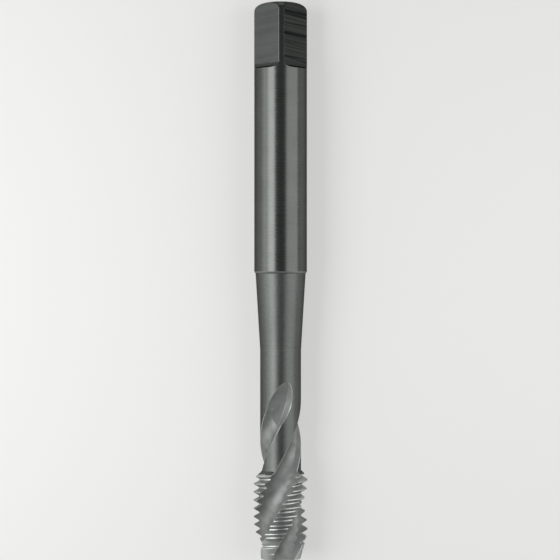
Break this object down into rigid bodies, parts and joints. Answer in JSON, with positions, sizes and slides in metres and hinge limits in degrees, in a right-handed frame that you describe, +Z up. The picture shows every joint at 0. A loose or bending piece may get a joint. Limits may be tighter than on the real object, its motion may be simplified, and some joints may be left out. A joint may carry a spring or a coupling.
{
  "type": "thread tap",
  "caption": "Machine tap lying on its side: right-hand cutting thread with spiral flutes, slim neck, plain shank and driving square.",
  "frame": {"origin": "on the surface that the tap lies on, under the middle of its length", "axes": "+Y along the tap's axis, from the cutting end towards the driving square; +Z up"},
  "size_m": [0.0082, 0.0842, 0.0082],
  "materials": {
    "high_speed_steel": "ground high-speed steel, dark from its heat treatment, with bright ground edges"
  },
  "bodies": {
    "root": {"thread_tap": "high_speed_steel"}
  },
  "joints": []
}
